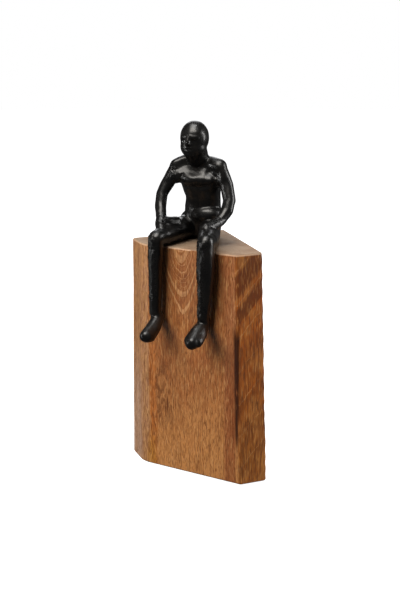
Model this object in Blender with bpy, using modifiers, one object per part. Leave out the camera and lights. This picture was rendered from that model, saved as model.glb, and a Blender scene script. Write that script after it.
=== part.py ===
"""Seated figure bookend: a black cast figure sits on a solid wedge of hardwood.

The working frame has X along the front face of the block, Y into the block and Z up, with its zero
in the middle of the front edge on the shelf. At the end everything hangs on one empty, which moves
it so that the world's origin is the middle of the footprint. Lengths are in millimetres until MM
turns them into Blender's metres.
"""
import math

import bmesh
import bpy
from mathutils import Matrix, Vector

MM = 0.001
GAP = 0.3                      # clearance between pieces that touch

# Block: its outline seen from above, corner by corner, at the top and at the foot.
BLOCK_HEIGHT = 205.0
# Corners run front right, right, back, left, front left.
TOP_OUTLINE = ((48.4, 0.0), (61.4, 21.0), (-26.5, 100.0), (-73.0, 17.8), (-48.4, 0.0))
FOOT_SPREAD = ((4.2, 3.1), (5.6, 3.3), (3.1, 5.6), (-1.2, -2.2), (-2.1, -0.7))
UPRIGHT_ROUNDS = (1.4, 3.2, 2.5, 3.0, 6.0)     # rounding of the five upright edges
RIM_ROUND = 1.4                                # rounding of the top and foot rims

# Felt feet, glued under the block and set in from its corners.
FELT_RADIUS = 7.0
FELT_THICKNESS = 1.5
FELT_CENTRES = {
    "felt_foot_right": (46.0, 18.0),
    "felt_foot_left": (-55.0, 17.0),
    "felt_foot_back": (-21.0, 89.0),
    "felt_foot_centre": (-8.0, 38.0),
}

# Studs that hold the figure down: half in the block, half in the figure.
STUD_RADIUS = 2.5
STUD_LENGTH = 30.0
STUD_IN_BLOCK = 18.0
STUD_POINT = 0.6               # chamfer on each end
STUD_CENTRES = {"stud_left": (-31.0, 42.0), "stud_right": (-8.0, 48.0)}

# Figure. Heights are above the seat. A chain is a list of x, y, z and the limb's radius there.
BODY_TURN = math.radians(17.6)     # the body faces this far round from -Y towards +X
HEAD_TURN = math.radians(8.0)
CHAINS = {
    "thigh_left": ((-32, 50, 10.4, 10.4), (-30.5, 24, 9.6, 10.2), (-28.3, 2, 8, 8.4),
                   (-27.3, -7.5, 8, 6.8)),
    "thigh_right": ((-13.5, 56, 10, 9.4), (7, 22, 8.9, 9.2), (20.5, -1, 8.8, 8.4), (23.3, -7.5, 9.5, 7.0)),
    "shin_left": ((-27.3, -8.5, 7.5, 6.8), (-28, -9, -15, 5.9), (-28.2, -9, -38, 5.2), (-29, -9, -57, 4.7)),
    "shin_right": ((23.3, -8.5, 9, 7.0), (23.8, -9.3, -12, 7.4), (23, -9, -35, 5.9), (21, -9, -55, 4.8)),
    "foot_left": ((-29, -8.5, -57, 4.8), (-27.2, -7, -63, 5.0), (-26, -18, -68.5, 4.8),
                  (-24.3, -30, -73.5, 4.8)),
    "foot_left_outer": ((-27.2, -7, -63, 5.0), (-23.5, -17, -70, 4.6), (-22.4, -26, -74.5, 4.8)),
    "foot_left_middle": ((-27.2, -7, -63, 5.0), (-23.9, -21, -71.8, 5.0), (-23.2, -29, -74.3, 4.9)),
    "foot_right": ((21, -8, -55, 4.9), (20.2, -6.5, -62, 5.0), (19.5, -17, -66.5, 5.2),
                   (19.6, -27, -71.5, 4.6)),
    "foot_right_middle": ((20.2, -6.5, -62, 5.0), (21.6, -18, -68.3, 5.5), (22.4, -28, -72.8, 5.5)),
    "foot_right_outer": ((20.2, -6.5, -62, 5.0), (23.3, -16, -69, 4.8), (25.2, -24, -72.5, 4.6)),
    "shoulders": ((-33, 33, 65.5, 6.9), (-26, 39.5, 69.4, 6.9), (-6, 46, 67.6, 6.7), (2.6, 45, 66, 6.7)),
    "arm_left": ((-33.3, 33, 65, 6.3), (-40.1, 26.7, 50, 5.3), (-42.3, 22.1, 42.0, 4.9),
                 (-41.0, 17.8, 32.3, 4.8), (-36.5, 12, 23.5, 4.4)),
    "hand_left": ((-36.5, 12, 23.5, 4.4), (-32.5, 5, 17.5, 4.2), (-28, 0, 14.5, 3.4)),
    "fingers_left": ((-34, 9, 20.5, 4.2), (-29.9, 13, 19.5, 4.0), (-27.5, 22, 18.6, 4.2)),
    "arm_right": ((3, 45, 65.5, 6.3), (9.6, 46.4, 50.3, 5.6), (14.2, 43.6, 37.7, 5.3), (14.6, 39, 29, 5.0),
                  (12.5, 32, 21.5, 4.6)),
    "hand_right": ((12.5, 32, 21.5, 4.6), (12, 22, 18.5, 4.4), (10.5, 12, 17.5, 3.8)),
    "spine": ((-22.5, 55.5, 12.5, 12.3), (-19.2, 52.6, 25, 11.6), (-16, 49, 38, 10.8),
              (-16, 43.5, 54, 11.2), (-16.8, 42, 66, 9.6)),
    "neck": ((-17, 43, 66, 9.6), (-15, 35, 80, 9.6)),
}
# A mass is its centre, its half width, half depth and half height, and which way it faces.
MASSES = {
    "pelvis": ((-22.5, 55, 12.5), (17.0, 13.0, 12.5), BODY_TURN),
    "belly": ((-18.5, 51.3, 25), (16.8, 11.0, 14.0), BODY_TURN),
    "waist": ((-15.7, 48, 38), (15.4, 9.8, 15.0), BODY_TURN),
    "ribs": ((-15.5, 42.5, 54), (18.4, 11.2, 16.0), BODY_TURN),
    "skull": ((-14.0, 31.5, 91.6), (12.1, 13.5, 14.1), HEAD_TURN),
    "jaw": ((-14.3, 30, 84), (11.2, 11.2, 10.0), HEAD_TURN),
    "nose": ((-12.4, 18.4, 88.5), (2.0, 2.4, 3.2), HEAD_TURN),
}
FIGURE_VOXEL = 1.2
FIGURE_SMOOTHING = 8
FIGURE_KEEP = 0.1              # share of the remeshed faces that the plain solid keeps

# Finishes: colour, roughness, metallic.
FINISHES = {
    "mango_wood": ((0.36, 0.17, 0.075), 0.6, 0.0),
    "black_paint": ((0.012, 0.012, 0.012), 0.38, 0.3),
    "zinc_steel": ((0.55, 0.56, 0.58), 0.35, 1.0),
    "black_felt": ((0.02, 0.02, 0.02), 0.95, 0.0),
}

SEAT_HEIGHT = FELT_THICKNESS + GAP + BLOCK_HEIGHT


def clear_scene():
    for old in list(bpy.data.objects):
        bpy.data.objects.remove(old, do_unlink=True)


def new_collection(name):
    collection = bpy.data.collections.new(name)
    bpy.context.scene.collection.children.link(collection)
    return collection


def finish_material(name):
    colour, roughness, metallic = FINISHES[name]
    material = bpy.data.materials.new(name)
    material.use_nodes = True
    shader = material.node_tree.nodes["Principled BSDF"]
    shader.inputs["Base Color"].default_value = (*colour, 1.0)
    shader.inputs["Roughness"].default_value = roughness
    shader.inputs["Metallic"].default_value = metallic
    return material


def object_from(bm, name, collection, root, material=None):
    """Turn a bmesh in millimetres into an object in metres that hangs on the root empty."""
    bmesh.ops.recalc_face_normals(bm, faces=bm.faces)
    bmesh.ops.scale(bm, vec=(MM, MM, MM), verts=bm.verts)
    mesh = bpy.data.meshes.new(name)
    bm.to_mesh(mesh)
    bm.free()
    made = bpy.data.objects.new(name, mesh)
    collection.objects.link(made)
    made.parent = root
    if material:
        mesh.materials.append(material)
    return made


def make_cutter(bm, name, collection, root):
    cutter = object_from(bm, name, collection, root)
    cutter.hide_render = True
    cutter.display_type = 'WIRE'
    return cutter


def cut(target, cutter):
    boolean = target.modifiers.new("cut_" + cutter.name, 'BOOLEAN')
    boolean.operation = 'DIFFERENCE'
    boolean.solver = 'EXACT'
    boolean.object = cutter


def cylinder(bm, radius, height, centre_xy, base, segments):
    place = Matrix.Translation((*centre_xy, base + height / 2))
    bmesh.ops.create_cone(bm, cap_ends=True, segments=segments, radius1=radius, radius2=radius,
                          depth=height, matrix=place)


# ---- block -------------------------------------------------------------------------------------

def upright_edge(bm, corner_xy):
    """The upright edge whose top end stands on this corner of the top outline."""
    for edge in bm.edges:
        high = max(edge.verts, key=lambda vert: vert.co.z)
        is_upright = edge.calc_length() > BLOCK_HEIGHT / 2
        if is_upright and (high.co.xy - Vector(corner_xy)).length < GAP:
            return edge
    raise RuntimeError("the block has no upright edge at %s" % (corner_xy,))


def make_block(parts, root, material):
    """A five-sided prism that spreads a little towards its foot, with its edges eased."""
    bm = bmesh.new()
    rim = [bm.verts.new((x, y, SEAT_HEIGHT)) for x, y in TOP_OUTLINE]
    top = bm.faces.new(rim)
    grown = bmesh.ops.extrude_face_region(bm, geom=[top], use_keep_orig=True)
    foot = [item for item in grown["geom"] if isinstance(item, bmesh.types.BMVert)]
    for vert in foot:
        corner = min(range(len(TOP_OUTLINE)), key=lambda i: (Vector(TOP_OUTLINE[i]) - vert.co.xy).length)
        spread_x, spread_y = FOOT_SPREAD[corner]
        vert.co += Vector((spread_x, spread_y, -BLOCK_HEIGHT))
    for corner_xy, radius in zip(TOP_OUTLINE, UPRIGHT_ROUNDS):
        bmesh.ops.bevel(bm, geom=[upright_edge(bm, corner_xy)], offset=radius, segments=4, profile=0.5,
                        affect='EDGES', material=-1)
    block = object_from(bm, "wood_block", parts, root, material)
    bevel = block.modifiers.new("eased_rims", 'BEVEL')
    bevel.width = RIM_ROUND * MM
    bevel.segments = 3
    bevel.limit_method = 'ANGLE'
    return block


def make_stud_holes(pieces, cutters, root):
    """Drill the block and the figure for both studs, a gap wider and longer than the studs."""
    for name, centre in STUD_CENTRES.items():
        bm = bmesh.new()
        cylinder(bm, STUD_RADIUS + GAP, STUD_LENGTH + 2 * GAP, centre,
                 SEAT_HEIGHT - STUD_IN_BLOCK - GAP, 24)
        drill = make_cutter(bm, "drill_" + name, cutters, root)
        for piece in pieces:
            cut(piece, drill)


def make_studs(parts, root, material):
    for name, centre in STUD_CENTRES.items():
        bm = bmesh.new()
        cylinder(bm, STUD_RADIUS, STUD_LENGTH, centre, SEAT_HEIGHT - STUD_IN_BLOCK, 24)
        stud = object_from(bm, name, parts, root, material)
        chamfer = stud.modifiers.new("point", 'BEVEL')
        chamfer.width = STUD_POINT * MM
        chamfer.segments = 1
        chamfer.limit_method = 'ANGLE'
        chamfer.angle_limit = math.radians(60)


def make_felt_feet(parts, root, material):
    for name, centre in FELT_CENTRES.items():
        bm = bmesh.new()
        cylinder(bm, FELT_RADIUS, FELT_THICKNESS, centre, 0.0, 32)
        object_from(bm, name, parts, root, material)


# ---- figure ------------------------------------------------------------------------------------

def limb(bm, chain):
    """Balls at the chain's points, with tapered rods between them."""
    points = [Vector(point[:3]) + Vector((0, 0, SEAT_HEIGHT)) for point in chain]
    radii = [point[3] for point in chain]
    for point, radius in zip(points, radii):
        bmesh.ops.create_uvsphere(bm, u_segments=24, v_segments=12, radius=radius,
                                  matrix=Matrix.Translation(point))
    for i in range(len(points) - 1):
        along = points[i + 1] - points[i]
        turn = along.to_track_quat('Z', 'Y').to_matrix().to_4x4()
        place = Matrix.Translation((points[i] + points[i + 1]) / 2) @ turn
        bmesh.ops.create_cone(bm, cap_ends=True, segments=24, radius1=radii[i], radius2=radii[i + 1],
                              depth=along.length, matrix=place)


def mass(bm, centre, halves, turn):
    place = (Matrix.Translation(Vector(centre) + Vector((0, 0, SEAT_HEIGHT)))
             @ Matrix.Rotation(turn, 4, 'Z') @ Matrix.Diagonal((*halves, 1.0)))
    bmesh.ops.create_uvsphere(bm, u_segments=32, v_segments=16, radius=1.0, matrix=place)


def make_figure(parts, cutters, root, material):
    """Overlapping balls and rods, melted into one skin, thinned and seated on the block."""
    bm = bmesh.new()
    for chain in CHAINS.values():
        limb(bm, chain)
    for centre, halves, turn in MASSES.values():
        mass(bm, centre, halves, turn)
    figure = object_from(bm, "cast_figure", parts, root, material)

    remesh = figure.modifiers.new("one_skin", 'REMESH')
    remesh.mode = 'VOXEL'
    remesh.voxel_size = FIGURE_VOXEL * MM
    smooth = figure.modifiers.new("soften", 'SMOOTH')
    smooth.iterations = FIGURE_SMOOTHING
    thin = figure.modifiers.new("thin", 'DECIMATE')
    thin.ratio = FIGURE_KEEP

    bm = bmesh.new()
    reach = 300.0
    depth = 60.0
    front = -1.0
    place = (Matrix.Translation((0, front + reach / 2, SEAT_HEIGHT + GAP - depth / 2))
             @ Matrix.Diagonal((reach, reach, depth, 1.0)))
    bmesh.ops.create_cube(bm, size=1.0, matrix=place)
    cut(figure, make_cutter(bm, "seat_cutter", cutters, root))
    return figure


def centre_on_footprint(root, parts):
    """Move the empty so that the middle of everything's box stands on the world's origin."""
    bpy.context.view_layer.update()
    depsgraph = bpy.context.evaluated_depsgraph_get()
    low = Vector((math.inf, math.inf))
    high = Vector((-math.inf, -math.inf))
    for piece in parts.objects:
        if piece.type != 'MESH':
            continue
        solid = piece.evaluated_get(depsgraph)
        for vert in solid.data.vertices:
            spot = solid.matrix_world @ vert.co
            low = Vector((min(low.x, spot.x), min(low.y, spot.y)))
            high = Vector((max(high.x, spot.x), max(high.y, spot.y)))
    middle = (low + high) / 2
    root.location = (-middle.x, -middle.y, 0.0)


def main():
    clear_scene()
    parts = new_collection("seated_figure_bookend")
    cutters = new_collection("cutters")
    root = bpy.data.objects.new("bookend_root", None)
    parts.objects.link(root)
    finishes = {name: finish_material(name) for name in FINISHES}

    block = make_block(parts, root, finishes["mango_wood"])
    figure = make_figure(parts, cutters, root, finishes["black_paint"])
    make_stud_holes((block, figure), cutters, root)
    make_studs(parts, root, finishes["zinc_steel"])
    make_felt_feet(parts, root, finishes["black_felt"])
    centre_on_footprint(root, parts)
    bpy.context.view_layer.update()


main()
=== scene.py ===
"""Seated figure bookend: the finished look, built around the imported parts.

Every shape is worked out in shelf millimetres: X runs along the front face of the block from its
middle, Y runs into the block, and Z is the height above the shelf. One matrix, TO_FRAME, takes a
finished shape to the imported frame, and every material reads its pattern in the same millimetres.
"""

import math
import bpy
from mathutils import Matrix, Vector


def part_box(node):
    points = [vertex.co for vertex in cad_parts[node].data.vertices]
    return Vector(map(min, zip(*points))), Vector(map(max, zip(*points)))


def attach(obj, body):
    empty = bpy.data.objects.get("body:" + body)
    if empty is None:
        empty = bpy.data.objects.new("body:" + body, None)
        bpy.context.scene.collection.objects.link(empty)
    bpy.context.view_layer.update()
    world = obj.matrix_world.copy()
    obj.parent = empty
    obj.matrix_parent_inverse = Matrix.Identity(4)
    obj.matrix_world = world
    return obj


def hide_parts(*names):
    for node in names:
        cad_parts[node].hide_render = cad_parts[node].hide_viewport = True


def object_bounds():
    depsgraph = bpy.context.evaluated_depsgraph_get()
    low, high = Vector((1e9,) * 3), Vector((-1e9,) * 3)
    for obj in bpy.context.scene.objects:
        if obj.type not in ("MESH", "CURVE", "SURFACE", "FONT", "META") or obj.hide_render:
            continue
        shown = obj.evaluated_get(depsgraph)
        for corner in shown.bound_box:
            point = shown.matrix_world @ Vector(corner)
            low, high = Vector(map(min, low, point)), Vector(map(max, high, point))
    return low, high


bl_info = {
    "name": "Seated Figure Bookend",
    "version": (1, 0, 0),
    "blender": (4, 5, 0),
    "location": "View3D > Sidebar > Bookend",
    "description": "Builds a black cast figure that sits on a solid hardwood block",
    "category": "Add Mesh",
}

from types import SimpleNamespace

import bmesh
import bpy
import numpy as np
from bpy.props import FloatProperty, FloatVectorProperty, IntProperty, PointerProperty
from bpy.types import Operator, Panel, PropertyGroup
from mathutils import Matrix, Vector, noise
from mathutils.interpolate import poly_3d_calc

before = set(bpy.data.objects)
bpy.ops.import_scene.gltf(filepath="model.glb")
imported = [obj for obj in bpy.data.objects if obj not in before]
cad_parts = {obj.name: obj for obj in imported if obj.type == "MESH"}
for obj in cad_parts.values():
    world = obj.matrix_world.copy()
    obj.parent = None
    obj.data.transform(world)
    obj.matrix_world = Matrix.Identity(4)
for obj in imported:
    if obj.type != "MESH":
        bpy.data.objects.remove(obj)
CAD_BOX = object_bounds()
MM = 0.001


# ---- where things stand, in shelf millimetres ----

LEFT_STUD = Vector((-31.0, 42.0))
STUD_LOW, STUD_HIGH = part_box("stud_left")
FRONT_MIDDLE = ((STUD_LOW + STUD_HIGH) / 2).xy - LEFT_STUD * MM
TO_FRAME = Matrix.Translation((*FRONT_MIDDLE, 0.0)) @ Matrix.Scale(MM, 4)
SHELF_SHIFT = np.array((FRONT_MIDDLE.x / MM, FRONT_MIDDLE.y / MM, 0.0))
BLOCK_LOW, BLOCK_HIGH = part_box("wood_block")
FOOT = BLOCK_LOW.z / MM
SEAT = BLOCK_HIGH.z / MM
BLOCK_HEIGHT = SEAT - FOOT
GAP = 0.3  # clearance between pieces that touch
SAME_POINT = 0.0001  # points closer than this are one point
ROUND_SEGMENTS = 32  # sides of a round limb or hole

# The block's corners at the top: front right, right, back, left, front left.
OUTLINE = ((48.4, 0), (61.4, 21), (-26.5, 100), (-73, 17.8), (-48.4, 0))
FOOT_SPREAD = ((4.2, 3.1), (5.6, 3.3), (3.1, 5.6), (-1.2, -2.2), (-2.1, -0.7))
UPRIGHT_ROUNDS = (1.4, 3.2, 2.5, 3, 6)
RIPPLE_REACH = 11  # the saw's waves fade out this far from the right corner
RIPPLE_SINK = 0.6  # and cut in more than they stand out
RIPPLE_DRIFT = (2.2, 40)  # how unevenly they stand, and over what distance
RELIEF_SIZE = 28  # width of the sanded faces' hollows
FLAT_ON_TOP = 0.7  # faces that look up or down more than this keep their own direction
FRONT_RIGHT = Vector(OUTLINE[0])
SIDE_RUN = (Vector(OUTLINE[1]) - FRONT_RIGHT).normalized()  # along the narrow right side
SIDE_OUT = Vector((SIDE_RUN.y, -SIDE_RUN.x))  # and out of it

STUDS = ("stud_left", "stud_right")
FELT_FEET = ("felt_foot_right", "felt_foot_left", "felt_foot_back", "felt_foot_centre")

# ---- the figure: heights are above the seat ----

BODY_TURN = math.radians(17.6)  # the body faces this far round from -Y towards +X
HEAD_TURN = math.radians(8.0)
HEAD = Vector((-14.0, 31.5, 91.6))
CHEST = Vector((-15.5, 42.5, 54.0))
# A limb is a list of x, y, z and the limb's radius there.
LIMBS = {
    "thigh_left": (
        (-32, 50, 10.4, 10.4), (-30.5, 24, 9.6, 10.2), (-28.3, 2, 8, 8.4), (-27.3, -7.5, 8, 6.8)),
    "thigh_right": (
        (-13.5, 56, 10, 9.4), (7, 22, 8.9, 9.2), (20.5, -1, 8.8, 8.4), (23.3, -7.5, 9.5, 7)),
    "shin_left": (
        (-27.3, -8.5, 7.5, 6.8), (-28, -9, -15, 5.9), (-28.2, -9, -38, 5.2), (-29, -9, -57, 4.7)),
    "shin_right": (
        (23.3, -8.5, 9, 7), (23.8, -9.3, -12, 7.4), (23, -9, -35, 5.9), (21, -9, -55, 4.8)),
    "foot_left": (
        (-29, -8.5, -57, 4.8), (-27.2, -7, -63, 5), (-26, -18, -68.5, 4.8), (-24.3, -30, -73.5, 4.8)),
    "foot_left_outer": ((-27.2, -7, -63, 5), (-23.5, -17, -70, 4.6), (-22.4, -26, -74.5, 4.8)),
    "foot_left_middle": ((-27.2, -7, -63, 5), (-23.9, -21, -71.8, 5), (-23.2, -29, -74.3, 4.9)),
    "foot_right_middle": ((20.2, -6.5, -62, 5), (21.6, -18, -68.3, 5.5), (22.4, -28, -72.8, 5.5)),
    "foot_right": (
        (21, -8, -55, 4.9), (20.2, -6.5, -62, 5), (19.5, -17, -66.5, 5.2), (19.6, -27, -71.5, 4.6)),
    "foot_right_outer": ((20.2, -6.5, -62, 5), (23.3, -16, -69, 4.8), (25.2, -24, -72.5, 4.6)),
    "shoulders": ((-33, 33, 65.5, 6.9), (-26, 39.5, 69.4, 6.9), (-6, 46, 67.6, 6.7), (2.6, 45, 66, 6.7)),
    "arm_left": (
        (-33.3, 33, 65, 6.3), (-40.1, 26.7, 50, 5.3), (-42.3, 22.1, 42, 4.9),
        (-41, 17.8, 32.3, 4.8), (-36.5, 12, 23.5, 4.4)),
    "hand_left": ((-36.5, 12, 23.5, 4.4), (-32.5, 5, 17.5, 4.2), (-28, 0, 14.5, 3.4)),
    "fingers_left": ((-34, 9, 20.5, 4.2), (-29.9, 13, 19.5, 4), (-27.5, 22, 18.6, 4.2)),
    "arm_right": (
        (3, 45, 65.5, 6.3), (9.6, 46.4, 50.3, 5.6), (14.2, 43.6, 37.7, 5.3), (14.6, 39, 29, 5),
        (12.5, 32, 21.5, 4.6)),
    "hand_right": ((12.5, 32, 21.5, 4.6), (12, 22, 18.5, 4.4), (10.5, 12, 17.5, 3.8)),
    "armpit_left": ((-31, 34, 61, 6), (-31, 34.8, 56, 4.8), (-32.8, 32.5, 54.2, 4.3)),
    "armpit_right": ((0.5, 44.5, 61, 6), (1.5, 46, 54, 4.6)),
    "neck": ((-17, 44, 66, 8.8), (-15.4, 36, 80, 9.3)),
    "throat": ((-15.8, 38.5, 73, 8.2), (-14.6, 31.5, 80, 8.6)),
}
# The trunk's cross-sections from the seat up: height, centre, half width and half depth.
TRUNK = (
    (4, -23, 55.5, 14.5, 11.5),
    (12, -22.5, 55, 17.2, 13),
    (25, -18.6, 51.5, 16.6, 11.4),
    (38, -15.8, 48, 15.6, 10),
    (47, -15.6, 44.8, 17.2, 11.2),
    (54, -15.7, 43.2, 18.2, 11.8),
    (60, -16, 43.8, 17.6, 10.6),
    (66, -16.6, 44.6, 15, 8.6),
)
TRUNK_STEP = 2.5  # height from one slice of the trunk to the next
TRUNK_ROUND = 6  # half height of each slice
# A mass is its centre, its half width, half depth and half height, and which way it faces.
MASSES = {
    "hip_left": ((-33, 50, 15), (7.5, 9, 9.5), BODY_TURN),
    "belly": ((-11.9, 47.8, 23), (14, 11, 8.5), BODY_TURN),
    "skull": (tuple(HEAD), (12.1, 13.5, 14.1), HEAD_TURN),
    "jaw": ((-14.3, 30, 84), (11.2, 11.2, 10), HEAD_TURN),
    "neck_root": ((-17.6, 43.2, 70), (11.2, 7.4, 7.4), HEAD_TURN),
    "nose": ((-12.4, 18.4, 88.5), (2, 2.4, 3.2), HEAD_TURN),
}
MASS_SEGMENTS = 48  # sides of a mass round its middle
SEAT_FRONT = -1.0  # in front of this the shins hang free of the block


# ---- sizes and colours a user would change ----

class BlockSettings(PropertyGroup):
    rim_round: FloatProperty(
        name="Rim round", description="Rounding of the top and foot rims",
        default=0.0012, min=0.0002, max=0.003, unit="LENGTH")
    facet: FloatProperty(
        name="Facet", description="Size of the facets that carry the sawn relief",
        default=0.002, min=0.001, max=0.01, unit="LENGTH")
    relief: FloatProperty(
        name="Relief", description="How far the sanded faces wander",
        default=0.00022, min=0.0, max=0.001, unit="LENGTH")
    saw_ripple: FloatProperty(
        name="Saw ripple", description="Depth of the saw's waves on the right edge",
        default=0.00022, min=0.0, max=0.002, unit="LENGTH")
    saw_pitch: FloatProperty(
        name="Saw pitch", description="Height from one saw wave to the next",
        default=0.0135, min=0.004, max=0.03, unit="LENGTH")
    heartwood: FloatVectorProperty(
        name="Heartwood", description="Main colour of the wood",
        default=(0.37, 0.135, 0.040), subtype="COLOR", min=0, max=1)
    sapwood: FloatVectorProperty(
        name="Sapwood", description="Pale wood down the left side",
        default=(0.46, 0.235, 0.100), subtype="COLOR", min=0, max=1)
    dark_grain: FloatVectorProperty(
        name="Dark grain", description="Dark lines and flecks",
        default=(0.105, 0.032, 0.010), subtype="COLOR", min=0, max=1)
    end_grain: FloatVectorProperty(
        name="End grain", description="Greyed wood on the sawn top",
        default=(0.31, 0.215, 0.140), subtype="COLOR", min=0, max=1)


class FigureSettings(PropertyGroup):
    skin_step: FloatProperty(
        name="Skin step", description="Spacing of the points in the cast skin",
        default=0.00066, min=0.0005, max=0.003, unit="LENGTH")
    softening: IntProperty(
        name="Softening", description="Rounds of smoothing where limbs meet",
        default=26, min=0, max=80)
    skin: FloatProperty(
        name="Skin", description="Thickness that the smoothing took off, put back",
        default=0.0004, min=0.0, max=0.001, unit="LENGTH")
    lumps: FloatProperty(
        name="Hand-worked lumps", description="Height of the broad unevenness",
        default=0.00028, min=0.0, max=0.001, unit="LENGTH")
    grain: FloatProperty(
        name="Casting grain", description="Height of the rough casting skin",
        default=0.0006, min=0.0, max=0.001, unit="LENGTH")
    paint: FloatVectorProperty(
        name="Paint", description="Colour of the black paint",
        default=(0.0026, 0.0025, 0.0025), subtype="COLOR", min=0, max=1)


class FixingSettings(PropertyGroup):
    thread_pitch: FloatProperty(
        name="Thread pitch", description="Pitch of the studs' thread",
        default=0.0008, min=0.0005, max=0.002, unit="LENGTH")
    thread_depth: FloatProperty(
        name="Thread depth", description="Depth of the studs' thread",
        default=0.00045, min=0.0001, max=0.001, unit="LENGTH")
    felt_fuzz: FloatProperty(
        name="Felt fuzz", description="Unevenness of the felt feet",
        default=0.00012, min=0.0, max=0.0005, unit="LENGTH")
    felt: FloatVectorProperty(
        name="Felt", description="Colour of the felt feet",
        default=(0.02, 0.02, 0.021), subtype="COLOR", min=0, max=1)


class StageSettings(PropertyGroup):
    floor: FloatVectorProperty(
        name="Floor", description="Colour of the floor",
        default=(0.90, 0.90, 0.90), subtype="COLOR", min=0, max=1)
    lens: FloatProperty(
        name="Lens", description="Focal length in millimetres", default=60.36)


# ---- shaping helpers ----

def new_object(name, data):
    """Add an object to the scene, at the origin."""
    made = bpy.data.objects.new(name, data)
    bpy.context.collection.objects.link(made)
    return made


def object_from(bm, name):
    """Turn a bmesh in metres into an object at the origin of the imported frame."""
    mesh = bpy.data.meshes.new(name)
    bm.to_mesh(mesh)
    bm.free()
    return new_object(name, mesh)


def piece_from(bm, name):
    """Turn a bmesh in shelf millimetres into a smooth-shaded object."""
    bmesh.ops.remove_doubles(bm, verts=bm.verts, dist=SAME_POINT)
    bmesh.ops.recalc_face_normals(bm, faces=bm.faces)
    bm.transform(TO_FRAME)
    piece = object_from(bm, name)
    piece.data.shade_smooth()
    return piece


def round_part(node):
    """The middle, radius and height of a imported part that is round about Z, in metres."""
    low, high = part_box(node)
    return (low + high) / 2, (high.x - low.x) / 2, high.z - low.z


def add_bar(bm, radius, depth, sides, centre):
    """Add an upright round bar."""
    bmesh.ops.create_cone(bm, cap_ends=True, segments=sides, radius1=radius, radius2=radius,
                          depth=depth, matrix=Matrix.Translation(centre))


def round_rims(bm, size, segments):
    """Round every level edge."""
    rims = [edge for edge in bm.edges if abs(edge.verts[0].co.z - edge.verts[1].co.z) < GAP]
    bmesh.ops.bevel(bm, geom=rims, offset=size, segments=segments, profile=0.5, affect='EDGES',
                    material=-1, clamp_overlap=True)


def settle(piece):
    """Apply a piece's modifiers: its mesh becomes the one that they give."""
    depsgraph = bpy.context.evaluated_depsgraph_get()
    made = bpy.data.meshes.new_from_object(piece.evaluated_get(depsgraph))
    plain = piece.data
    piece.modifiers.clear()
    piece.data = made
    bpy.data.meshes.remove(plain)


def drill_for_studs(piece):
    """Cut a clearance hole for each stud."""
    drills = []
    for node in STUDS:
        centre, radius, length = round_part(node)
        bm = bmesh.new()
        add_bar(bm, radius + GAP * MM, length + 2 * GAP * MM, ROUND_SEGMENTS, centre)
        drill = object_from(bm, "drill")
        hole = piece.modifiers.new("hole", 'BOOLEAN')
        hole.operation = 'DIFFERENCE'
        hole.solver = 'MANIFOLD'
        hole.object = drill
        drills.append(drill)
    settle(piece)
    for drill in drills:
        bpy.data.objects.remove(drill)


def slices(bm, axis, step):
    """Cut a bmesh into slabs across one axis."""
    heights = [vert.co[axis] for vert in bm.verts]
    low, high = min(heights), max(heights)
    count = max(1, round((high - low) / step))
    across = Vector((0, 0, 0))
    across[axis] = 1.0
    for i in range(1, count):
        bmesh.ops.bisect_plane(bm, geom=bm.verts[:] + bm.edges[:] + bm.faces[:], dist=SAME_POINT,
                               plane_co=across * (low + (high - low) * i / count), plane_no=across)


def wander(point, size, octaves=3):
    """Smooth noise about zero, with features of this size in millimetres."""
    return noise.fractal(point / size, 1.0, 2.0, octaves)


def finish_piece(piece, material, slot, *nodes):
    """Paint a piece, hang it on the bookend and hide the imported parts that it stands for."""
    piece.data.materials.clear()
    piece.data.materials.append(material)
    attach(piece, "root")
    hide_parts(*nodes)


# ---- material helpers ----

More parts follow.
